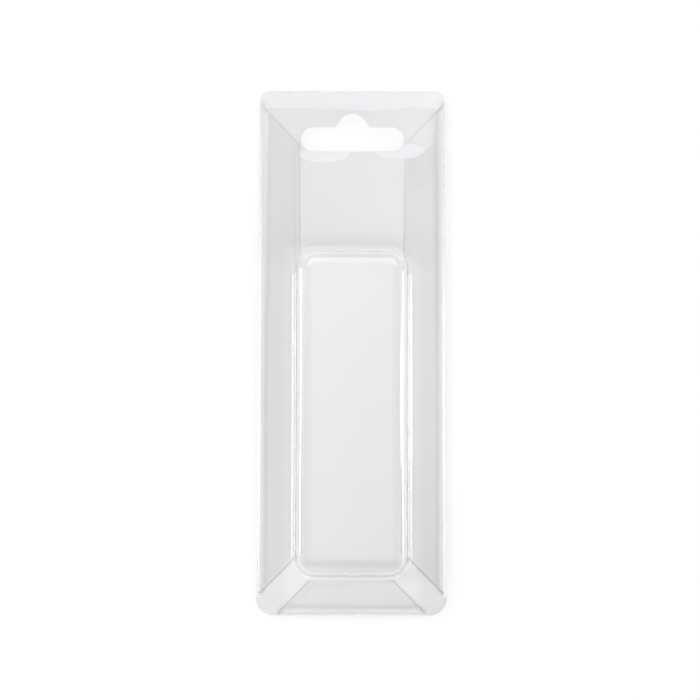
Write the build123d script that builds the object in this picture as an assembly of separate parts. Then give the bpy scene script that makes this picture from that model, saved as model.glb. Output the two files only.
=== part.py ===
from build123d import *
import os
from math import cos, radians, sin, tan

# A clear slide-card blister, thermoformed and folded from one sheet of film. The front sheet carries a
# hang slot in its header and a drawn pocket below. Its left, right and bottom flanges are folded back
# behind it to make the channel that a backing card slides into from the top.
#
# Millimetres. The tray lies on its folded flanges: +Z out of the pocket's face, +Y towards the hang slot,
# origin under the middle of the outline.

# Film
film = 0.25                     # gauge of the sheet and its flanges
drawn_film = 0.2                # thinner film of the drawn pocket

# Outline
tray_width = 58.0               # over the two side folds
tray_length = 163.0             # top edge to the outside of the bottom fold
header_inset = 0.3              # top corners stand this far inside the side folds
header_radius = 3.0             # top corners
ear_proud = 0.3                 # unfolded bottom corners stand this far outside the side folds
ear_radius = 5.5                # bottom corners

# Folds: a tight crown between two soft shoulders, where the film springs back
crown_radius = 0.5              # middle of the film
shoulder_radius = 3.8           # middle of the film
shoulder_angle = 42.0           # turn taken by each shoulder, degrees
fold_notch = 0.2                # from the end of a corner's arc to the end of the fold
slit = 0.2                      # die cut that frees the end of a fold from the corner beside it

# Flanges, measured from the outside of the fold
side_flange_top = 12.65         # at the upper mitre
side_flange_bottom = 13.6       # at the lower mitre
bottom_flange = 10.9
top_mitre = 43.8                # between the upper mitre and its fold, degrees
corner_mitre = 45.0             # between the lower mitres and their folds, degrees

# Pocket, outside of the film, foot measured at the front of the sheet
pocket_width = 36.0
pocket_length = 101.5
pocket_depth = 14.0             # front of the sheet to the outside of the face
pocket_gap = 0.45               # bottom flange's free edge to the pocket's foot
pocket_corner = 7.0             # foot corners in plan
pocket_draft = 5.7              # degrees
face_radius = 4.8               # rounding between face and walls
foot_radius = 1.8               # rounding between walls and sheet

# Hang slot for a display hook
slot_width = 32.0
slot_height = 7.6
slot_end_radius = 3.5
slot_from_top = 11.3            # top edge to the slot's upper side
dome_width = 11.0               # at the slot
dome_height = 4.4
dome_radius = 3.5               # crown of the dome
dome_blend = 0.8                # between dome and slot

overrun = 1.0                   # how far cutting shapes pass the film

# Places that follow from the sizes above
fold_spread = shoulder_radius - crown_radius
fold_middle = shoulder_radius - fold_spread * cos(radians(shoulder_angle))
fold_reach = crown_radius + fold_spread * sin(radians(shoulder_angle)) + film / 2
fold_height = 2 * fold_middle + film
sheet_front = fold_height
sheet_back = fold_height - film
top_edge = tray_length / 2
bottom_edge = -tray_length / 2
side_fold = tray_width / 2
fold_top = top_edge - header_radius - fold_notch
fold_bottom = bottom_edge + ear_radius + fold_notch
bottom_fold_end = side_fold + ear_proud - ear_radius - fold_notch
pocket_middle = bottom_edge + bottom_flange + pocket_gap + pocket_length / 2
draft_slope = tan(radians(pocket_draft))


def front_sheet():
    """The flat front of the tray, cut back to the bend lines where a fold starts."""
    header_half = side_fold - header_inset
    ear_half = side_fold + ear_proud
    outline = Polygon(
        (-header_half, top_edge),
        (-ear_half, bottom_edge),
        (ear_half, bottom_edge),
        (header_half, top_edge),
        align=None,
    )
    corners = outline.vertices().sort_by(Axis.Y)
    outline = fillet(corners[2:], header_radius)
    corners = outline.vertices().sort_by(Axis.Y)
    ears = [corner for corner in corners if corner.Y < bottom_edge + film]
    outline = fillet(ears, ear_radius)

    strip = fold_reach + ear_proud + overrun
    side_strip = Rectangle(strip, fold_top - fold_bottom + 2 * slit)
    side_place = side_fold - fold_reach + strip / 2
    middle = (fold_top + fold_bottom) / 2
    outline -= Pos(-side_place, middle) * side_strip
    outline -= Pos(side_place, middle) * side_strip
    bottom_strip = Rectangle(2 * (bottom_fold_end + slit), strip)
    outline -= Pos(0, bottom_edge + fold_reach - strip / 2) * bottom_strip
    return Pos(0, 0, sheet_back) * extrude(outline, film)


def fold_arcs(offset):
    """The bend's three arcs from the front sheet round to the flange, offset from the middle of the film."""
    start = fold_reach
    shoulder = shoulder_radius + offset
    crown = crown_radius + offset
    upper = (start, fold_height - film / 2 - shoulder_radius)
    middle = (start - fold_spread * sin(radians(shoulder_angle)), fold_height / 2)
    lower = (start, film / 2 + shoulder_radius)
    return [
        CenterArc(upper, shoulder, 90, shoulder_angle),
        CenterArc(middle, crown, 90 + shoulder_angle, 180 - 2 * shoulder_angle),
        CenterArc(lower, shoulder, 270 - shoulder_angle, shoulder_angle),
    ]


def folded_flange(start, end, start_width, end_width, start_mitre, end_mitre):
    """A fold along +Y with its flange turned back behind the sheet; X runs inwards from the fold."""
    widest = max(start_width, end_width)
    outer = fold_arcs(film / 2)
    inner = fold_arcs(-film / 2)
    bend = outer + inner
    bend.append(Line(outer[0] @ 0, inner[0] @ 0))
    bend.append(Line(outer[2] @ 1, (widest, 0)))
    bend.append(Line((widest, 0), (widest, film)))
    bend.append(Line((widest, film), inner[2] @ 1))
    section = Plane.XZ * make_face(bend)
    strip = Pos(0, end, 0) * extrude(section, end - start)

    start_slope = 1 / tan(radians(start_mitre))
    end_slope = 1 / tan(radians(end_mitre))
    flange = Polygon(
        (-overrun, start - overrun * start_slope),
        (start_width, start + start_width * start_slope),
        (end_width, end - end_width * end_slope),
        (-overrun, end + overrun * end_slope),
        align=None,
    )
    back = Pos(0, 0, -overrun) * extrude(flange, fold_height / 2 + overrun)
    front_plan = Rectangle(fold_reach + 2 * overrun, end - start, align=(Align.MIN, Align.MIN))
    front = Pos(-overrun, start, fold_height / 2) * extrude(front_plan, fold_height)
    return strip & (back + front)


def pocket_form(inset, height, rounding):
    """A drafted block on the front of the sheet, shrunk by a wall, with its face rounded."""
    wall = inset / cos(radians(pocket_draft))
    below = film + overrun
    flare = below * draft_slope
    foot = RectangleRounded(
        pocket_width - 2 * wall + 2 * flare,
        pocket_length - 2 * wall + 2 * flare,
        pocket_corner - wall + flare,
    )
    block = extrude(foot, height + below, taper=pocket_draft)
    rim = block.faces().sort_by(Axis.Z)[-1].edges()
    block = fillet(rim, rounding)
    return Pos(0, pocket_middle, sheet_front - below) * block


def hang_slot():
    """The cut for a display hook: a long slot with a dome that centres the hook."""
    slot_top = top_edge - slot_from_top
    slot = Pos(0, slot_top - slot_height / 2) * RectangleRounded(slot_width, slot_height, slot_end_radius)
    crown = CenterArc((0, slot_top + dome_height - dome_radius), dome_radius, 0, 360)
    base = Line((-dome_width / 2, slot_top), (dome_width / 2, slot_top))
    opening = slot + make_hull([crown, base])
    shoulders = opening.vertices().filter_by_position(
        Axis.X, -dome_width / 2 - film, dome_width / 2 + film
    )
    shoulders = shoulders.group_by(Axis.Y)[0]
    opening = fillet(shoulders, dome_blend)
    return Pos(0, 0, sheet_back - overrun) * extrude(opening, film + 2 * overrun)


def pocket_foot(edge):
    """Whether an edge runs along the foot of the pocket's walls."""
    middle = edge.center()
    return (
        abs(middle.X) < pocket_width / 2 + foot_radius
        and abs(middle.Y - pocket_middle) < pocket_length / 2 + foot_radius
    )


def blister_tray():
    """The whole tray as one solid of film."""
    tray = front_sheet()
    outside = pocket_form(0, pocket_depth, face_radius)
    outside &= Pos(0, pocket_middle, sheet_back + pocket_depth) * Box(
        tray_width, tray_length, 2 * pocket_depth
    )
    tray += outside
    feet = tray.edges().filter_by_position(Axis.Z, sheet_front - film / 4, sheet_front + film / 4)
    feet = [edge for edge in feet if pocket_foot(edge)]
    tray = fillet(feet, foot_radius)
    tray -= pocket_form(drawn_film, pocket_depth - drawn_film, face_radius - drawn_film)
    mouth = tray.edges().filter_by_position(Axis.Z, sheet_back - film / 4, sheet_back + film / 4)
    mouth = [edge for edge in mouth if pocket_foot(edge)]
    tray = fillet(mouth, foot_radius + drawn_film)
    tray -= hang_slot()

    side = folded_flange(
        fold_bottom, fold_top, side_flange_bottom, side_flange_top, corner_mitre, top_mitre
    )
    left = Pos(-side_fold, 0, 0) * side
    right = mirror(left, Plane.YZ)
    foot = folded_flange(
        -bottom_fold_end, bottom_fold_end, bottom_flange, bottom_flange, corner_mitre, corner_mitre
    )
    bottom = Pos(0, bottom_edge, 0) * Rot(0, 0, 90) * foot
    return tray + left + right + bottom


os.makedirs("parts", exist_ok=True)
export_step(blister_tray(), "parts/blister_tray.step")
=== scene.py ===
from cmath import phase, rect
from math import ceil, cos, exp, pi, radians, sin, tan

import bmesh
import bpy
import numpy as np
from mathutils import Matrix, Vector, noise
from mathutils.geometry import delaunay_2d_cdt


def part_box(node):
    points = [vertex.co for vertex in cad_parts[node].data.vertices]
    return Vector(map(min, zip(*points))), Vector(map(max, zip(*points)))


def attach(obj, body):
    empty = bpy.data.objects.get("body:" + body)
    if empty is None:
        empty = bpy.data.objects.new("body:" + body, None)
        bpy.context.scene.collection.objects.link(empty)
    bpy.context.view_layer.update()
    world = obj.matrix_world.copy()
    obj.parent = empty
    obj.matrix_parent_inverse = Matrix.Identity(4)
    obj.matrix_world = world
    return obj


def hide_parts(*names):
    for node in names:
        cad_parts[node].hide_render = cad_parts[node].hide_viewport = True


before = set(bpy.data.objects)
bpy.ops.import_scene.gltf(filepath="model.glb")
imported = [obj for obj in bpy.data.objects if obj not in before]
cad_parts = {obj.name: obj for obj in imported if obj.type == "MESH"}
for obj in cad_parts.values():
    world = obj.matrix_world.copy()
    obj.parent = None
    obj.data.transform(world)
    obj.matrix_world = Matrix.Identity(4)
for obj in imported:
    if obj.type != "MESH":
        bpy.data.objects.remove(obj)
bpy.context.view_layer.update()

# A clear slide-card blister: one sheet of film with a hang slot, a drawn pocket and three flanges folded
# back behind it. The film is modelled as its outer skin and then given its thickness.
#
# The tray's sizes are in millimetres, as it is drawn, and become metres when the mesh is made. The studio
# round it is in metres. Points in plan are complex numbers: the real part runs along X and the imaginary
# part along Y.

MM = 0.001
tray_low, tray_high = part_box("blister_tray")

# Film
film = 0.25                     # gauge of the sheet and its flanges
drawn_film = 0.2                # gauge of the drawn pocket
burr = 0.2                      # added to the gauge at a flange's cut edges
burr_width = 0.5
cut_rounding = 0.12             # rounding of the cut edges
cut_segments = 3
cut_angle = radians(60)         # edges that turn further than this are cut edges

# Outline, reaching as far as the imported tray
top_edge = tray_high[1] / MM
bottom_edge = tray_low[1] / MM
ear_half = tray_high[0] / MM
face_top = tray_high[2] / MM
side_fold = 29.0
header_half = 28.7
header_radius = 3.0
ear_radius = 5.5

# Folds
crown_radius = 0.5
shoulder_radius = 3.8
shoulder_angle = radians(42)
fold_notch = 0.2
slit = 0.2

# Flanges, measured from the outside of the fold
side_flange_top = 12.65
side_flange_bottom = 13.6
bottom_flange = 10.9
top_mitre = radians(43.8)
corner_mitre = radians(45)

# Pocket
pocket_width = 36.0
pocket_length = 101.5
pocket_gap = 0.45
pocket_corner = 7.0
pocket_draft = radians(5.7)
face_radius = 4.8
foot_radius = 1.8
face_crown = 0.5                # fall of the face towards its ends
side_crown = 0.4                # share of that fall towards its sides

# Hang slot
slot_half = 16.0
slot_height = 7.6
slot_end_radius = 3.5
slot_from_top = 11.3
dome_half = 5.4
dome_height = 4.4
dome_radius = 4.5
dome_blend = 0.8

# Sheet after handling: gentle waves, and leans beside the hang slot as (x, reach, start, run, depth)
wave_length = 16.0
wave_height = 0.02
header_bows = [(-9.0, 9.0, 58.0, 6.5, 0.2), (15.0, 8.0, 59.5, 6.0, 0.2)]

# Right flange after handling: its free edge stands up near its top
lift = 0.8
lift_middle = 59.5
lift_lean = 4.5                 # the middle lies this much further up beside the fold
lift_above = 15.0               # reach over the middle
lift_below = 10.0               # reach under the middle

# Film tint as it looks, much of it painted light and shade, from 0, clear, to 1: flat film
# the flanges are kept lighter than the sheet: painted light where two layers of film would look darker
flange_lightened_tint = 0.14
flange_top_painted_light = 0.12          # painted light, taken off towards the flanges' tops
fold_turn_start = 0.55          # shares of the fold's height where the flange's tint turns
fold_turn_end = 0.85            # into the sheet's
sheet_density = 0.32
sheet_fall = 0.06               # added towards the sheet's foot
painted_side_light = 0.09               # painted light and shade: added on one side, taken off the other
lean_rise = 6.0                 # how fast the lean changes sides up the sheet
header_top = 0.1
header_top_start = 70.0
header_top_run = 6.0
header_rim = 0.35
ear_rim = 0.35
rim_width = 0.35
# painted shade at the bottom corners and round the hang slot
ear_painted_shade = 0.16
ear_reach = 12.0
slot_painted_shade = 0.2
slot_shade_reach = 2.0

# Painted shadow on the sheet above the pocket, and painted light round its foot, where its walls cast
# light
pocket_painted_shadow = 0.14
pocket_shadow_reach = 8.0
foot_painted_light = 0.3
side_light_reach = 3.0
end_light_reach = 9.0

# Along the folds: painted light where the film turns, and a painted shadow of each fold in a line beside
# it
fold_light_start = 1.6
fold_light_end = 2.5
fold_fade = 3.0
left_fold_shadow = 0.14
left_fold_shadow_top = 0.22
left_fold_shadow_place = 2.45
left_fold_shadow_inner = 0.7
left_fold_shadow_spread = 0.45
left_fold_light_spread = 0.25
right_fold_shadow = 0.08
right_fold_shadow_top = 0.42
right_fold_shadow_place = 2.35
right_fold_shadow_inner = 1.2
fold_shadow_outer = 0.75
fold_shadow_rise = 45.0
spread_rise = 70.0
end_fold_shadow = 0.38

# Painted shadows along the flanges' cut edges, with a painted light stripe beside them
mitre_painted_shadow = 0.5
corner_mitre_painted_shadow = 0.9
free_edge_painted_shadow = 0.28
cut_width = 0.3
cut_light_place = 0.85
cut_light_width = 0.5
second_cut_shadow_place = 1.65
second_cut_shadow = 0.25

# Tint of the pocket's face with painted shade, darker towards its bottom end and at the turns at its
# edges, and a painted reflection at its top turn
face_tint_and_shade_low = 0.58
face_tint_and_shade_high = 0.33
face_turn_start = 0.5           # shares of the rounding's height where the wall's tint turns
face_turn_end = 0.85            # into the face's
side_painted_shade = 0.15
side_shade_place = 3.8
side_shade_width = 1.0
end_painted_shade = 0.35
end_shade_place = 4.95
end_shade_width = 1.0
top_painted_reflection = 0.12
top_reflection_place = 5.0
top_reflection_width = 1.5
end_painted_shade_line = 0.9
end_shade_line_height = 2.0
end_shade_line_width = 1.2

# Other looks of the film
side_wall_shade = 0.1
haze_start = 3.0
haze_end = 2.2

# Mesh
grid_step = 1.6
grid_clearance = 0.65           # of a grid step, between the grid and the outlines
rim_clearance = 0.8             # of the rim's width, between its points and the outlines
edge_width = 2.0
edge_steps = 8
arc_step = radians(7.5)
weld = 0.002

# Places that follow from the sizes above
fold_spread = shoulder_radius - crown_radius
fold_height = 2 * (shoulder_radius - fold_spread * cos(shoulder_angle)) + film
fold_reach = crown_radius + fold_spread * sin(shoulder_angle) + film / 2
fold_top = top_edge - header_radius - fold_notch
fold_bottom = bottom_edge + ear_radius + fold_notch
bottom_fold_end = ear_half - ear_radius - fold_notch
sheet_front = fold_height
pocket_depth = face_top - sheet_front
pocket_middle = bottom_edge + bottom_flange + pocket_gap + pocket_length / 2
pocket_bottom = pocket_middle - pocket_length / 2
pocket_top = pocket_middle + pocket_length / 2
foot_top = sheet_front + foot_radius
face_edge = face_top - face_radius


# Plan shapes

def arc(centre, radius, start, turn, steps):
    """Points along an arc, both ends included."""
    return [centre + rect(radius, start + turn * step / steps) for step in range(steps + 1)]


def rounded(corners):
    """A closed outline through (point, radius) corners, each corner turned into an arc."""
    outline = []
    for k, (corner, radius) in enumerate(corners):
        if radius == 0:
            outline.append(corner)
            continue
        back = corners[k - 1][0] - corner
        ahead = corners[(k + 1) % len(corners)][0] - corner
        back /= abs(back)
        ahead /= abs(ahead)
        half = abs(phase(ahead / back)) / 2
        centre = corner + (back + ahead) / abs(back + ahead) * radius / sin(half)
        arm = corner + back * radius / tan(half) - centre
        turn = phase((corner + ahead * radius / tan(half) - centre) / arm)
        steps = ceil(abs(turn) / arc_step)
        outline += [centre + arm * rect(1, turn * step / steps) for step in range(steps + 1)]
    return outline


def divided(outline):
    """The closed outline with its long runs divided."""
    points = []
    for start, end in zip(outline, outline[1:] + outline[:1]):
        runs = ceil(abs(end - start) / grid_step)
        points += [start + (end - start) * run / runs for run in range(runs)]
    return points


def within(points, loops):
    """Which points lie inside an odd number of the loops."""
    odd = np.zeros(len(points), bool)
    for loop in loops:
        for start, end in zip(loop, loop[1:] + loop[:1]):
            if start.imag == end.imag:
                continue
            crosses = (start.imag > points.imag) != (end.imag > points.imag)
            lean = (end.real - start.real) / (end.imag - start.imag)
            odd ^= crosses & (points.real < start.real + (points.imag - start.imag) * lean)
    return odd


def clear_points(points, loops, clearance):
    """The points inside the first loop and outside the others that keep clear of all their corners."""
    border = np.array([point for loop in loops for point in loop])
    points = points[within(points, loops)]
    clear = [np.abs(border - point).min() > clearance for point in points]
    return list(points[clear])


def inner_points(loops):
    """A staggered grid of points inside the first loop and outside the others."""
    border = np.array([point for loop in loops for point in loop])
    row_step = grid_step * sin(pi / 3)
    rows = []
    for row, y in enumerate(np.arange(border.imag.min(), border.imag.max(), row_step)):
        start = border.real.min() + grid_step / 2 * (row % 2)
        rows.append(np.arange(start, border.real.max(), grid_step) + 1j * y)
    return clear_points(np.concatenate(rows), loops, grid_clearance * grid_step)


def rim_points(loops):
    """Points just inside the first loop and just outside the others, in step with their corners."""
    points = []
    for loop in loops:
        side = rim_width if loop is loops[0] else -rim_width
        for before, here, after in zip(loop[-1:] + loop[:-1], loop, loop[1:] + loop[:1]):
            points.append(here + 1j * side * (after - before) / abs(after - before))
    return clear_points(np.array(points), loops, rim_clearance * rim_width)


def filled(loops, height):
    """A flat patch of triangles inside the first loop and outside the others."""
    points = [point for loop in loops for point in loop]
    edges = []
    first = 0
    for loop in loops:
        edges += [(first + k, first + (k + 1) % len(loop)) for k in range(len(loop))]
        first += len(loop)
    points += rim_points(loops) + inner_points(loops)
    flat = [Vector((point.real, point.imag)) for point in points]
    places, _, faces, *_ = delaunay_2d_cdt(flat, edges, [], 0, weld / 10)
    centres = np.array([sum(complex(*places[k]) for k in face) / 3 for face in faces])
    kept = [face for face, inside in zip(faces, within(centres, loops)) if inside]
    return [(place.x, place.y, height) for place in places], kept


def strip(rows, closed):
    """A patch of quads between rows of points; closed rows join end to start."""
    across = len(rows[0])
    faces = []
    for row in range(len(rows) - 1):
        for k in range(across if closed else across - 1):
            after = (k + 1) % across
            here = row * across
            faces.append((here + k, here + after, here + across + after, here + across + k))
    return [point for row in rows for point in row], faces


# Outer skin of the film

def sheet_outline():
    """The front sheet up to its bend lines, with the die cuts beside the ends of the folds."""
    bend_line = side_fold - fold_reach
    half = [
        (bottom_fold_end + 1j * (bottom_edge + fold_reach), 0),
        (bottom_fold_end + slit + 1j * (bottom_edge + fold_reach), 0),
        (bottom_fold_end + slit + 1j * bottom_edge, 0),
        (ear_half + 1j * bottom_edge, ear_radius),
        (ear_half + 1j * (fold_bottom - slit), 0),
        (bend_line + 1j * (fold_bottom - slit), 0),
        (bend_line + 1j * fold_bottom, 0),
        (bend_line + 1j * fold_top, 0),
        (bend_line + 1j * (fold_top + slit), 0),
        (header_half + 1j * (fold_top + slit), 0),
        (header_half + 1j * top_edge, header_radius),
    ]
    mirrored = [(-point.conjugate(), radius) for point, radius in reversed(half)]
    return divided(rounded(half + mirrored))


def slot_outline():
    """The hang slot with its dome; the dome's straight flanks meet at a virtual peak."""
    top = top_edge - slot_from_top
    bottom = top - slot_height
    rise = dome_height - dome_radius
    flank = phase(dome_half + 1j * rise) + np.arcsin(dome_radius / abs(dome_half + 1j * rise))
    peak = top + dome_half * tan(flank)
    return divided(rounded([
        (-slot_half + 1j * bottom, slot_end_radius),
        (slot_half + 1j * bottom, slot_end_radius),
        (slot_half + 1j * top, slot_end_radius),
        (dome_half + 1j * top, dome_blend),
        (1j * peak, dome_radius),
        (-dome_half + 1j * top, dome_blend),
        (-slot_half + 1j * top, slot_end_radius),
    ]))


def pocket_profile():
    """(inset from the foot, height over the sheet) pairs up the pocket's outside, from sheet to face."""
    slope = tan(pocket_draft)
    turn = pi / 2 - pocket_draft
    foot_steps = 16
    wall_steps = 4
    face_steps = 18
    foot_rise = foot_radius * (1 - sin(pocket_draft))
    foot_centre = foot_rise * slope - foot_radius * cos(pocket_draft)
    profile = []
    for step in range(foot_steps + 1):
        angle = turn * step / foot_steps
        profile.append((foot_centre + foot_radius * sin(angle), foot_radius * (1 - cos(angle))))
    wall_top = pocket_depth - face_radius * (1 - sin(pocket_draft))
    for step in range(1, wall_steps):
        height = foot_rise + (wall_top - foot_rise) * step / wall_steps
        profile.append((height * slope, height))
    face_centre = wall_top * slope + face_radius * cos(pocket_draft)
    for step in range(face_steps + 1):
        angle = turn * (1 - step / face_steps)
        height = pocket_depth - face_radius * (1 - cos(angle))
        profile.append((face_centre - face_radius * sin(angle), height))
    return profile


def pocket_ring(inset):
    """The pocket's outline in plan, drawn in from its foot; every ring has the same number of points."""
    corner_steps = 12
    long_steps = 52
    short_steps = 14
    radius = pocket_corner - inset
    across = pocket_width / 2 - inset - radius
    along = pocket_length / 2 - inset - radius
    quarters = [(1, 1, short_steps), (-1, 1, long_steps), (-1, -1, short_steps), (1, -1, long_steps)]
    centres = [side * across + 1j * (pocket_middle + end * along) for side, end, _ in quarters]
    ring = []
    for quarter, (_, _, steps) in enumerate(quarters):
        centre = centres[quarter]
        angles = [pi / 2 * (quarter + k / corner_steps) for k in range(corner_steps + 1)]
        ring += [centre + rect(radius, angle) for angle in angles]
        corner_end = ring[-1]
        run = centres[(quarter + 1) % 4] - centre
        ring += [corner_end + run * k / steps for k in range(1, steps)]
    return ring


def bend_profile():
    """Places round the outside of a fold, from the sheet to the flange: inwards and upwards."""
    shoulder_steps = 12
    crown_steps = 24
    shoulder = shoulder_radius + film / 2
    crown = crown_radius + film / 2
    upper = fold_reach + 1j * (fold_height - film / 2 - shoulder_radius)
    middle = fold_reach - fold_spread * sin(shoulder_angle) + 1j * fold_height / 2
    lower = fold_reach + 1j * (film / 2 + shoulder_radius)
    crown_turn = pi - 2 * shoulder_angle
    start = pi / 2
    profile = arc(upper, shoulder, start, shoulder_angle, shoulder_steps)[:-1]
    start += shoulder_angle
    profile += arc(middle, crown, start, crown_turn, crown_steps)[:-1]
    start += crown_turn
    return profile + arc(lower, shoulder, start, shoulder_angle, shoulder_steps)


def spaced(length):
    """Distances along a length, evenly spaced but for narrow steps beside the cut edge at its end."""
    plain = length - edge_width
    steps = ceil(plain / grid_step)
    distances = [plain * k / steps for k in range(steps)]
    return distances + [plain + edge_width * k / edge_steps for k in range(edge_steps + 1)]


def spaced_shares(length):
    """Shares of a length from 0 to 1, with narrow steps beside the cut edges at both ends."""
    half = length / 2
    run = spaced(half)
    shares = [0.5 - distance / half / 2 for distance in reversed(run)]
    return shares + [0.5 + distance / half / 2 for distance in run[1:]]


def folded_flange(start, end, start_width, end_width, start_mitre, end_mitre, place):
    """A fold and its flange; place puts (distance inwards, distance along, height) into the tray."""
    start_slope = 1 / tan(start_mitre)
    end_slope = 1 / tan(end_mitre)
    shares = spaced_shares(end - start)
    columns = []
    for point in bend_profile():
        trim = max(point.real, 0) if point.imag < fold_height / 2 else 0
        first = start + trim * start_slope
        last = end - trim * end_slope
        run = [first + (last - first) * share for share in shares]
        columns.append([place(point.real, along, point.imag) for along in run])
    first_bend = fold_reach + 1j * (start + fold_reach * start_slope)
    last_bend = fold_reach + 1j * (end - fold_reach * end_slope)
    first_free = start_width + 1j * (start + start_width * start_slope)
    last_free = end_width + 1j * (end - end_width * end_slope)
    depth = min(start_width, end_width) - fold_reach
    for distance in spaced(depth)[1:]:
        first = first_bend + (first_free - first_bend) * distance / depth
        last = last_bend + (last_free - last_bend) * distance / depth
        line = [first + (last - first) * share for share in shares]
        columns.append([place(point.real, point.imag, 0) for point in line])
    return strip(columns, closed=False)


def skin_patches():
    """The film's outer skin as patches that meet point to point."""
    profile = pocket_profile()
    rings = [pocket_ring(inset) for inset, _ in profile]
    walls = [
        [(point.real, point.imag, sheet_front + height) for point in ring]
        for ring, (_, height) in zip(rings, profile)
    ]
    sides = (fold_bottom, fold_top, side_flange_bottom, side_flange_top, corner_mitre, top_mitre)
    foot = (-bottom_fold_end, bottom_fold_end, bottom_flange, bottom_flange, corner_mitre, corner_mitre)
    return [
        filled([sheet_outline(), slot_outline(), rings[0]], sheet_front),
        strip(walls, closed=True),
        filled([rings[-1]], face_top),
        folded_flange(*sides, lambda inwards, along, height: (inwards - side_fold, along, height)),
        folded_flange(*sides, lambda inwards, along, height: (side_fold - inwards, along, height)),
        folded_flange(*foot, lambda inwards, along, height: (along, bottom_edge + inwards, height)),
    ]


# Film after forming and handling

def eased(share):
    """The share, kept between 0 and 1, with a soft start and end."""
    share = min(max(share, 0), 1)
    return share ** 2 * (3 - 2 * share)


def header_bow(x, y):
    """How far the header leans back beside the hang slot."""
    bow = 0
    for middle, reach, start, run, depth in header_bows:
        bow += depth * eased((y - start) / run) * exp(-((x - middle) / reach) ** 2)
    return bow


def flange_lift(x, y):
    """How far the right flange stands up, most at its free edge."""
    held = min(max(1 - (side_fold - fold_reach - x) / (side_flange_top - fold_reach), 0), 1)
    middle = lift_middle + lift_lean * held ** 2
    reach = lift_above if y > middle else lift_below
    return lift * (1 - eased(abs(y - middle) / reach)) * (1 - held ** 2)


def settled(x, y, z):
    """A point of the skin after forming and handling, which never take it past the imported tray."""
    raised = max(z - sheet_front, 0) / pocket_depth
    across = min(abs(x) / (pocket_width / 2), 1)
    along = min(abs(y - pocket_middle) / (pocket_length / 2), 1)
    crown = face_crown * (along ** 2 + side_crown * across ** 2) * raised ** 4
    ripple = 0.5 + 0.5 * noise.noise(Vector((x, y, 0)) / wave_length)
    held = min(z / sheet_front, 1)
    lifted = flange_lift(x, y) if x > 0 and z < weld else 0
    return x, y, z + lifted - crown - (wave_height * ripple + header_bow(x, y)) * held


def film_gauge(corner):
    """The film's thickness at a corner of the skin: thinner where drawn, thicker at a flange's cuts."""
    height = corner.co.z / MM
    drawn = min(max((height - sheet_front) / foot_radius, 0), 1)
    gauge = film + (drawn_film - film) * drawn
    short = [edge for edge in corner.link_edges if edge.calc_length() < burr_width * MM]
    near = [corner] + [edge.other_vert(corner) for edge in short]
    if height < film and any(place.is_boundary for place in near):
        gauge += burr
    return gauge


def film_skin():
    """The film's outer skin in metres, with its thickness as a share of the thickest film."""
    skin = bmesh.new()
    for points, faces in skin_patches():
        corners = [skin.verts.new(Vector(settled(*point)) * MM) for point in points]
        for face in faces:
            skin.faces.new([corners[k] for k in face])
    bmesh.ops.remove_doubles(skin, verts=skin.verts, dist=weld * MM)
    loose = [corner for corner in skin.verts if not corner.link_faces]
    bmesh.ops.delete(skin, geom=loose, context="VERTS")
    bmesh.ops.recalc_face_normals(skin, faces=skin.faces)
    highest = max(skin.faces, key=lambda face: face.calc_center_median().z)
    if highest.normal.z < 0:
        bmesh.ops.reverse_faces(skin, faces=skin.faces)
    shares = skin.verts.layers.deform.verify()
    for corner in skin.verts:
        corner[shares][0] = film_gauge(corner) / (film + burr)
    mesh = bpy.data.meshes.new("film_skin")
    skin.to_mesh(mesh)
    skin.free()
    return mesh


def thicken(skin):
    """Gives the skin its thickness, its rounded cut edges and the shading of flat film."""
    gauge = skin.vertex_groups.new(name="gauge")
    thickness = skin.modifiers.new("thickness", "SOLIDIFY")
    thickness.thickness = (film + burr) * MM
    thickness.offset = -1
    thickness.use_even_offset = True
    thickness.use_quality_normals = True
    thickness.vertex_group = gauge.name
    cut_edges = skin.modifiers.new("cut_edges", "BEVEL")
    cut_edges.limit_method = "ANGLE"
    cut_edges.angle_limit = cut_angle
    cut_edges.width = cut_rounding * MM
    cut_edges.segments = cut_segments
    skin.data.shade_smooth()
    shading = skin.modifiers.new("flat_film", "WEIGHTED_NORMAL")
    shading.keep_sharp = False


def film_piece():
    """The tray's film as one object, with its looks as values on its mesh."""
    skin = bpy.data.objects.new("film_skin", film_skin())
    bpy.context.scene.collection.objects.link(skin)
    thicken(skin)
    whole = skin.evaluated_get(bpy.context.evaluated_depsgraph_get())
    mesh = bpy.data.meshes.new_from_object(whole)
    bpy.data.objects.remove(skin)
    places = np.empty(3 * len(mesh.vertices))
    mesh.vertices.foreach_get("co", places)
    places = places.reshape(-1, 3) / MM
    for look in (film_tint_and_painted_light, edge_shade, fold_haze):
        values = mesh.attributes.new(look.__name__, "FLOAT", "POINT")
        values.data.foreach_set("value", look(places))
    piece = bpy.data.objects.new("film", mesh)
    bpy.context.scene.collection.objects.link(piece)
    return piece


# Distances in plan, for the film's looks

def fold_distances(x, y):
    """How far each place lies inwards of the side folds and the bottom fold, which fade at their ends."""
    past_top = np.maximum(y - fold_top + fold_fade, 0)
    past_bottom = np.maximum(fold_bottom + fold_fade - y, 0)
    past_end = np.maximum(np.abs(x) - bottom_fold_end + fold_fade, 0)
    from_side = side_fold - np.abs(x) + past_top + past_bottom
    from_end = y - bottom_edge + past_end
    return from_side, from_end


def slot_distance(x, y):
    """How far each place lies from the rim of the hang slot."""
    rim = np.array(slot_outline())
    return np.array([np.abs(rim - place).min() for place in x + 1j * y])


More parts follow.
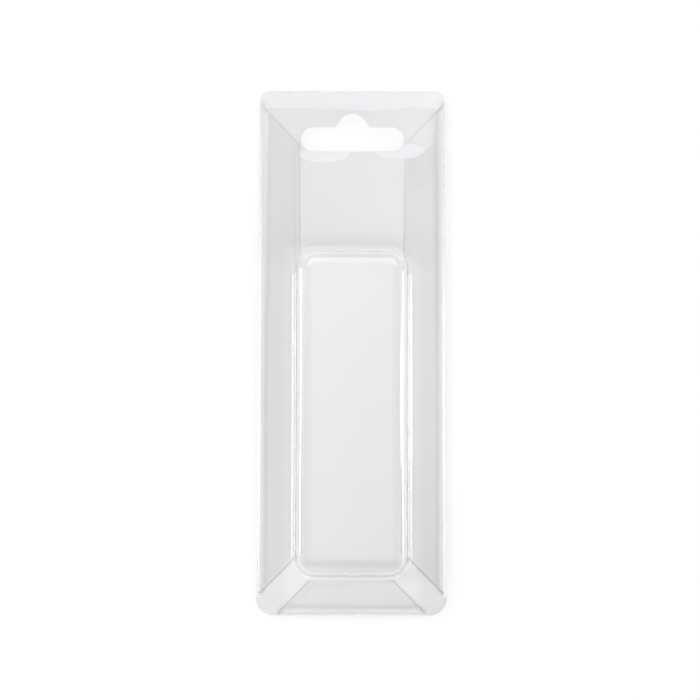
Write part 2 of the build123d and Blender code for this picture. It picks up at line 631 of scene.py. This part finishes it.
def flange_cuts():
    """The flanges' cut edges in plan, as the corners of first mitre, free edge and second mitre."""
    top = side_flange_top / tan(top_mitre)
    bottom = side_flange_bottom / tan(corner_mitre)
    left = [
        -side_fold + 1j * fold_top,
        side_flange_top - side_fold + 1j * (fold_top - top),
        side_flange_bottom - side_fold + 1j * (fold_bottom + bottom),
        -side_fold + 1j * fold_bottom,
    ]
    right = [-point.conjugate() for point in left]
    inner = bottom_fold_end - bottom_flange / tan(corner_mitre)
    foot = [
        -bottom_fold_end + 1j * bottom_edge,
        -inner + 1j * (bottom_edge + bottom_flange),
        inner + 1j * (bottom_edge + bottom_flange),
        bottom_fold_end + 1j * bottom_edge,
    ]
    return left, right, foot


def line_distance(places, start, end):
    """How far each place lies from a line in plan."""
    run = end - start
    share = np.clip(((places - start) * run.conjugate()).real / abs(run) ** 2, 0, 1)
    return np.abs(places - start - share * run)


def cut_distances(x, y):
    """How far each place lies from the flanges' mitres and from their free edges."""
    places = x + 1j * y
    from_mitre = np.full(len(places), np.inf)
    from_free = np.full(len(places), np.inf)
    for first, second, third, fourth in flange_cuts():
        from_mitre = np.minimum(from_mitre, line_distance(places, first, second))
        from_free = np.minimum(from_free, line_distance(places, second, third))
        from_mitre = np.minimum(from_mitre, line_distance(places, third, fourth))
    return from_mitre, from_free


def rim_distance(x, y):
    """How far each place lies inside the header's top edge, its corners and the bottom corners."""
    across = np.abs(x)
    header_out = np.hypot(
        np.maximum(across - header_half + header_radius, 0),
        np.maximum(y - top_edge + header_radius, 0),
    )
    ear_across = across - ear_half + ear_radius
    ear_along = bottom_edge + ear_radius - y
    ear_out = np.where((ear_across > 0) & (ear_along > 0), np.hypot(ear_across, ear_along), 0)
    return np.where(y > fold_top, header_radius - header_out, ear_radius - ear_out)


# Looks of the film; its tint carries painted light and shade

def hump(distance, width):
    """1 at no distance, falling off within about the width."""
    return np.exp(-(distance / width) ** 2)


def risen_share(y):
    """How far up the side folds each place lies, from 0 to 1."""
    return np.clip((y - fold_bottom) / (fold_top - fold_bottom), 0, 1)


def height_tint(z):
    """The tint of plain film by its height: the flanges, lighter than the sheet as painted light, the
    sheet, then the pocket's clear walls.
    """
    heights = [fold_turn_start * fold_height, fold_turn_end * fold_height, sheet_front, foot_top]
    return np.interp(z, heights, [flange_lightened_tint, sheet_density, sheet_density, 0])


def sheet_shading(x, y):
    """What the sheet's slow changes of shade add to its tint: darker towards its foot and its top, and
    painted light and shade from side to side.
    """
    risen = risen_share(y)
    # painted light and shade: one side lighter, the other darker
    lean = painted_side_light * x / side_fold * np.clip(lean_rise * risen - 1, -1, 1)
    top = header_top * np.clip((y - header_top_start) / header_top_run, 0, 1)
    return sheet_fall * (1 - risen) - lean + top


def sheet_edges(x, y):
    """What the sheet's rim adds to its tint, with painted shade at its bottom corners and round the hang
    slot.
    """
    rim = np.where(y > 0, header_rim, ear_rim) * hump(rim_distance(x, y), rim_width)
    ears = ear_painted_shade * hump(np.hypot(np.abs(x) - ear_half, y - bottom_edge), ear_reach)
    slot = slot_painted_shade * hump(slot_distance(x, y), slot_shade_reach)
    return rim + ears + slot


def pocket_surround(x, y, z):
    """What the pocket changes round its foot: painted shadow on the sheet above it, and painted light
    beside and below it.
    """
    beside = np.maximum(np.abs(x) - pocket_width / 2, 0)
    above = np.maximum(y - pocket_top, 0)
    below = np.maximum(pocket_bottom - y, 0)
    near_top = np.clip((y - pocket_top) / pocket_corner + 1, 0, 1)
    flat = np.clip((foot_top - z) / foot_radius, 0, 1)
    # painted shadow above the pocket, then painted light beside and below it
    dense = pocket_painted_shadow * hump(np.hypot(beside, above), pocket_shadow_reach) * near_top * flat
    drawn = hump(beside, side_light_reach) * hump(below, end_light_reach) * hump(above, foot_radius)
    return dense - foot_painted_light * drawn


def flange_painted_light(x, y):
    """Painted light and shade on the flanges: shadow lines along the cut edges with a light stripe
    between, and light on the bottom flange and towards the flanges' tops.
    """
    foot = (y < bottom_edge + bottom_flange) & (np.abs(x) < bottom_fold_end - (y - bottom_edge))
    from_mitre, from_free = cut_distances(x, y)
    from_cut = np.minimum(from_mitre, from_free)
    # painted shadow lines along the cut edges, a painted light stripe inside them, and a second painted
    # shadow line on the left
    cut_light_and_shade = np.where(y > 0, mitre_painted_shadow, corner_mitre_painted_shadow) * hump(from_mitre, cut_width)
    cut_light_and_shade += free_edge_painted_shadow * hump(from_free, cut_width)
    cut_light_and_shade -= flange_lightened_tint * hump(from_cut - cut_light_place, cut_light_width)
    cut_light_and_shade += second_cut_shadow * hump(from_cut - second_cut_shadow_place, cut_width) * (x < 0)
    # painted light on the bottom flange and towards the flanges' tops
    return cut_light_and_shade - flange_lightened_tint * foot - flange_top_painted_light * risen_share(y)


def fold_painted_light_and_shadow(x, y):
    """How much of its tint the film keeps at the folds, where painted light clears it, and the painted
    shadow of each fold beside it.
    """
    from_side, from_end = fold_distances(x, y)
    risen = np.clip(y / fold_shadow_rise, 0, 1)
    spread = np.where(x < 0, np.clip(y / spread_rise, 0, 1), 0)
    nearest = np.minimum(from_side / (1 + left_fold_light_spread * spread), from_end)
    # painted light: the film clears towards each fold
    fold_light = np.clip((nearest - fold_light_start) / (fold_light_end - fold_light_start), 0, 1)
    left = left_fold_shadow + (left_fold_shadow_top - left_fold_shadow) * risen
    right = right_fold_shadow + (right_fold_shadow_top - right_fold_shadow) * risen
    place = np.where(x < 0, left_fold_shadow_place * (1 + left_fold_shadow_spread * spread), right_fold_shadow_place)
    inner = np.where(x < 0, left_fold_shadow_inner, right_fold_shadow_inner)
    width = np.where(from_side > place, inner, fold_shadow_outer)
    # the painted shadow of each fold, in a line beside it
    dulled = np.where(x < 0, left, right) * hump(from_side - place, width)
    return fold_light, dulled + end_fold_shadow * hump(from_end - left_fold_shadow_place, fold_shadow_outer)


def face_tint_and_painted_light(x, y, z):
    """What the pocket's face adds to the tint: painted shade towards its bottom end and at its side and
    bottom turns, a painted reflection at its top turn, and a painted shade line under its foot.
    """
    rising = (y - pocket_bottom) / pocket_length
    # painted shade: darker towards the bottom end
    face = face_tint_and_shade_low + (face_tint_and_shade_high - face_tint_and_shade_low) * rising
    # painted shade at the side and bottom turns, a painted reflection at the top turn
    face += side_painted_shade * hump(pocket_width / 2 - np.abs(x) - side_shade_place, side_shade_width)
    face += end_painted_shade * hump(y - pocket_bottom - end_shade_place, end_shade_width)
    face -= top_painted_reflection * hump(pocket_top - y - top_reflection_place, top_reflection_width)
    turned = (z - face_edge) / face_radius
    on_face = np.clip((turned - face_turn_start) / (face_turn_end - face_turn_start), 0, 1)
    near_end = np.clip((pocket_bottom - y) / pocket_corner + 1, 0, 1)
    # a painted shade line at the bottom end
    line = end_painted_shade_line * hump(z - face_edge - end_shade_line_height, end_shade_line_width) * near_end
    return face * on_face + line


def film_tint_and_painted_light(places):
    """The film's tint at each place, with painted light and shade laid over it."""
    x, y, z = places.T
    on_sheet = (z > fold_height / 2) & (z < foot_top)
    on_flange = z < fold_height / 4
    sheet = sheet_shading(x, y) + sheet_edges(x, y) + pocket_surround(x, y, z)
    tint_and_shade = height_tint(z) + sheet * on_sheet + flange_painted_light(x, y) * on_flange
    # painted light at the folds, and the folds' painted shadows
    fold_light, dulled = fold_painted_light_and_shadow(x, y)
    tint_and_shade = tint_and_shade * fold_light + dulled * on_sheet + face_tint_and_painted_light(x, y, z)
    return np.maximum(tint_and_shade, 0)


def edge_shade(places):
    """How much light film seen edge on keeps from the floor: the pocket's long walls let more past."""
    x, y, z = places.T
    on_pocket = np.clip((z - sheet_front) / foot_radius, 0, 1)
    from_end = pocket_length / 2 - np.abs(y - pocket_middle)
    beside = np.clip(from_end / pocket_corner, 0, 1)
    return 1 - (1 - side_wall_shade) * on_pocket * beside


def fold_haze(places):
    """Where a fold has dulled the film, from 0 to 1."""
    from_fold = np.minimum(*fold_distances(*places.T[:2]))
    return np.clip((haze_start - from_fold) / (haze_start - haze_end), 0, 1)


# Materials

clear_tint = (1, 1, 1, 1)
# the tint at full value, which also darkens the painted shade
deep_tint_and_shade = (0.8, 0.8, 0.806, 1)
refraction = 1.55
gloss_low = 0.008
gloss_high = 0.025
gloss_scale = 60.0
gloss_detail = 3.0
fold_roughness = 0.2
peel_scale = 260.0
peel_detail = 2.0
peel_strength = 0.3
peel_height = 0.000006
lamp_loss = 0.095               # light that dense film keeps from what lies behind it
glancing_loss = 0.9             # light that film seen edge on keeps from it
glancing_power = 3.5
floor_colour = (0.8, 0.8, 0.8, 1)
floor_lift = 0.122


def add_node(tree, kind, inputs, **settings):
    """A new node; its inputs take values or the outputs of other nodes."""
    node = tree.nodes.new(kind)
    for name, value in settings.items():
        setattr(node, name, value)
    for name, value in inputs.items():
        if isinstance(value, bpy.types.NodeSocket):
            tree.links.new(value, node.inputs[name])
        else:
            node.inputs[name].default_value = value
    return node


def math_value(tree, operation, *values):
    """The result of a sum on values or the outputs of other nodes."""
    node = add_node(tree, "ShaderNodeMath", dict(enumerate(values)), operation=operation)
    return node.outputs["Value"]


def noise_value(tree, place, scale, detail):
    """Noise over the tray, from 0 to 1."""
    node = add_node(tree, "ShaderNodeTexNoise", {"Vector": place, "Scale": scale, "Detail": detail})
    return node.outputs["Fac"]


def look_value(tree, look):
    """The value that a look of the film has put on its mesh."""
    node = add_node(tree, "ShaderNodeAttribute", {}, attribute_name=look.__name__)
    return node.outputs["Fac"]


def mixed_value(tree, share, first, second, data_type="FLOAT"):
    """The first value where the share is 0, the second where it is 1."""
    inputs = {"Factor": share, "A": first, "B": second}
    return add_node(tree, "ShaderNodeMix", inputs, data_type=data_type).outputs["Result"]


def mixed_shader(tree, share, first, second):
    """The first shader where the share is 0, the second where it is 1."""
    return add_node(tree, "ShaderNodeMixShader", {0: share, 1: first, 2: second}).outputs["Shader"]


def bare_material(name):
    """A new material without nodes."""
    material = bpy.data.materials.new(name)
    material.use_nodes = True
    material.node_tree.nodes.clear()
    return material


def film_roughness(tree, place):
    """The film's uneven gloss, dulled along the folds."""
    gloss = add_node(tree, "ShaderNodeMapRange", {
        "Value": noise_value(tree, place, gloss_scale, gloss_detail),
        "To Min": gloss_low,
        "To Max": gloss_high,
    })
    dulled = look_value(tree, fold_haze)
    return math_value(tree, "MULTIPLY_ADD", dulled, fold_roughness, gloss.outputs["Result"])


def film_peel(tree, place):
    """The film's faint orange peel."""
    bump = add_node(tree, "ShaderNodeBump", {
        "Height": noise_value(tree, place, peel_scale, peel_detail),
        "Strength": peel_strength,
        "Distance": peel_height,
    })
    return bump.outputs["Normal"]


def lamp_share(tree, tint_and_shade):
    """How much of a lamp's light passes the film: less where its tint and painted shade are deep, least
    where seen edge on.
    """
    glance = tree.nodes.new("ShaderNodeLayerWeight")
    edge_on = math_value(tree, "POWER", glance.outputs["Facing"], glancing_power)
    shaded = math_value(tree, "MULTIPLY", edge_on, look_value(tree, edge_shade))
    square_on = math_value(tree, "MULTIPLY_ADD", tint_and_shade, -lamp_loss, 1)
    return math_value(tree, "MULTIPLY_ADD", shaded, -glancing_loss, square_on)


def film_material():
    """Clear film: glassy, with a faint orange peel, tinted with painted light and shade; lamps shine
    through it onto what lies behind.
    """
    material = bare_material("clear_film")
    tree = material.node_tree
    place = tree.nodes.new("ShaderNodeTexCoord").outputs["Object"]
    # the film's tint with painted light and shade; it also sets how much lamp light passes
    tint_and_shade = look_value(tree, film_tint_and_painted_light)
    clear = add_node(tree, "ShaderNodeBsdfPrincipled", {
        "Base Color": mixed_value(tree, tint_and_shade, clear_tint, deep_tint_and_shade, "RGBA"),
        "Transmission Weight": 1,
        "IOR": refraction,
        "Roughness": film_roughness(tree, place),
        "Normal": film_peel(tree, place),
    }).outputs["BSDF"]
    passed = add_node(tree, "ShaderNodeBsdfTransparent", {"Color": lamp_share(tree, tint_and_shade)})
    passed = passed.outputs["BSDF"]
    path = tree.nodes.new("ShaderNodeLightPath")
    bounced = mixed_shader(tree, path.outputs["Is Diffuse Ray"], clear, passed)
    surface = mixed_shader(tree, path.outputs["Is Shadow Ray"], bounced, passed)
    add_node(tree, "ShaderNodeOutputMaterial", {"Surface": surface})
    return material


def seen_rays(tree):
    """Two outputs: 1 for rays from the camera, and 1 for rays through or off the film."""
    path = tree.nodes.new("ShaderNodeLightPath")
    off_film = path.outputs["Is Glossy Ray"]
    through_film = path.outputs["Is Transmission Ray"]
    return path.outputs["Is Camera Ray"], math_value(tree, "MAXIMUM", off_film, through_film)


def floor_material():
    """A pale floor, lifted to white where it is seen, so that it keeps the tray's shadow."""
    material = bare_material("floor")
    tree = material.node_tree
    pale = add_node(tree, "ShaderNodeBsdfDiffuse", {"Color": floor_colour})
    seen = math_value(tree, "MAXIMUM", *seen_rays(tree))
    strength = math_value(tree, "MULTIPLY", seen, floor_lift)
    glow = add_node(tree, "ShaderNodeEmission", {"Strength": strength})
    both = add_node(tree, "ShaderNodeAddShader", {0: pale.outputs["BSDF"], 1: glow.outputs["Emission"]})
    add_node(tree, "ShaderNodeOutputMaterial", {"Surface": both.outputs["Shader"]})
    return material


# Studio

cool_white = (0.965, 0.965, 1.075)
warm_white = (1.015, 1.015, 0.97)
dome_level = 0.28
horizon_level = 1.0
horizon_top = 0.08              # sines of the heights between which the horizon's light
zenith_start = 0.3              # falls to the zenith's
zenith_level = 0.05


def studio_world():
    """A plain dome of light; the film mirrors it white at the horizon and dark overhead."""
    world = bpy.data.worlds.new("studio")
    bpy.context.scene.world = world
    world.use_nodes = True
    tree = world.node_tree
    tree.nodes.clear()
    direction = tree.nodes.new("ShaderNodeTexCoord").outputs["Generated"]
    split = add_node(tree, "ShaderNodeSeparateXYZ", {"Vector": direction})
    inputs = {
        "Value": split.outputs["Z"],
        "From Min": horizon_top,
        "From Max": zenith_start,
        "To Min": horizon_level,
        "To Max": zenith_level,
    }
    mirrored = add_node(tree, "ShaderNodeMapRange", inputs, interpolation_type="SMOOTHSTEP")
    camera_rays, film_rays = seen_rays(tree)
    level = mixed_value(tree, film_rays, dome_level, mirrored.outputs["Result"])
    white = mixed_value(tree, camera_rays, level, 1)
    background = add_node(tree, "ShaderNodeBackground", {"Strength": white})
    add_node(tree, "ShaderNodeOutputWorld", {"Surface": background.outputs["Background"]})


def softbox(name, place, aim, size, radiance, mirrored=True, shape="RECTANGLE"):
    """A lamp of even brightness, turned to face its aim; the mirrored ones are cooler."""
    width, length = size
    lamp = bpy.data.lights.new(name, "AREA")
    lamp.color = cool_white if mirrored else warm_white
    lamp.shape = shape
    lamp.size = width
    lamp.size_y = length
    lamp.energy = radiance * pi * width * length
    box = bpy.data.objects.new(name, lamp)
    box.location = place
    box.rotation_euler = (Vector(aim) - Vector(place)).to_track_quat("-Z", "Y").to_euler()
    box.visible_camera = False
    box.visible_glossy = mirrored
    box.visible_transmission = mirrored
    bpy.context.scene.collection.objects.link(box)


def floor_lamps():
    """A key over the tray's foot and a fill on each side, which light the floor and cast the shadow."""
    tray = (0, 0, 0)
    softbox("key", (-0.05, -0.36, 1.0), tray, size=(0.3, 0.3), radiance=12.8, mirrored=False)
    softbox("left_fill", (-1.6, 0, 1.6), tray, size=(0.8, 0.8), radiance=9.2, mirrored=False)
    softbox("right_fill", (1.6, 0, 1.6), tray, size=(0.8, 0.8), radiance=1.7, mirrored=False)


def film_lamps():
    """The softboxes that the film mirrors."""
    softbox("overhead_panel", (0, 0.075, 1.2), (0, 0.075, 0), size=(0.18, 0.49), radiance=0.37)
    softbox("back_box", (0, 0.61, 0.9), (0, 0.61, 0), size=(1.4, 0.7), radiance=1.25)
    softbox("back_core", (0, 0.9, 0.88), (0, 0.9, 0), size=(1.0, 0.6), radiance=0.6)
    softbox("left_wall", (-0.9, 0.05, 0.47), (0, 0.05, 0.47), size=(0.9, 0.46), radiance=0.35)
    softbox("right_wall", (0.9, 0.05, 0.47), (0, 0.05, 0.47), size=(0.9, 0.46), radiance=0.35)
    softbox("front_wall", (0, -0.9, 0.47), (0, 0, 0.47), size=(0.9, 0.46), radiance=0.5)
    softbox("left_strip", (-1.0, 0.02, 0.1), (0, 0.02, 0.1), size=(0.3, 0.2), radiance=5)
    softbox("right_strip", (1.0, 0, 0.1), (0, 0, 0.1), size=(0.32, 0.2), radiance=5)
    lamp_place = (1.0, 0.05, 0.3)
    lamp_aim = (0, 0.05, 0.3)
    softbox("right_lamp", lamp_place, lamp_aim, size=(0.15, 0.5), radiance=2.7, shape="ELLIPSE")


def studio_floor():
    """A wide plain floor just under the tray."""
    reach = 2.0
    gap = 0.05 * MM
    mesh = bpy.data.meshes.new("floor")
    corners = [(-reach, -reach, 0), (reach, -reach, 0), (reach, reach, 0), (-reach, reach, 0)]
    mesh.from_pydata(corners, [], [(0, 1, 2, 3)])
    floor = bpy.data.objects.new("floor", mesh)
    floor.data.materials.append(floor_material())
    floor.location.z = -gap
    bpy.context.scene.collection.objects.link(floor)


def camera():
    """Looks down on the tray, square on but for a slight tilt towards its foot."""
    aim = Vector((-0.58, 0.468, 0)) * MM
    distance = 0.6
    tilt = radians(4.42)
    roll = radians(0.115)
    lens = bpy.data.cameras.new("camera")
    lens.lens = 98.97
    lens.sensor_width = 36
    lens.clip_start = 0.01
    view = bpy.data.objects.new("camera", lens)
    turn = Matrix.Rotation(tilt, 4, "X") @ Matrix.Rotation(roll, 4, "Z")
    view.matrix_world = Matrix.Translation(aim) @ turn @ Matrix.Translation((0, 0, distance))
    bpy.context.scene.collection.objects.link(view)
    bpy.context.scene.camera = view


def light_paths():
    """Bounces enough for light that runs to and fro between the film's faces."""
    paths = bpy.context.scene.cycles
    paths.max_bounces = 96
    paths.transmission_bounces = 96
    paths.glossy_bounces = 48
    paths.transparent_max_bounces = 24


# The tray in its studio

film_object = film_piece()
film_object.data.materials.append(film_material())
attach(film_object, "root")
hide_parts("blister_tray")

studio_world()
floor_lamps()
film_lamps()
studio_floor()
camera()
light_paths()
bpy.context.scene.view_settings.view_transform = "Standard"
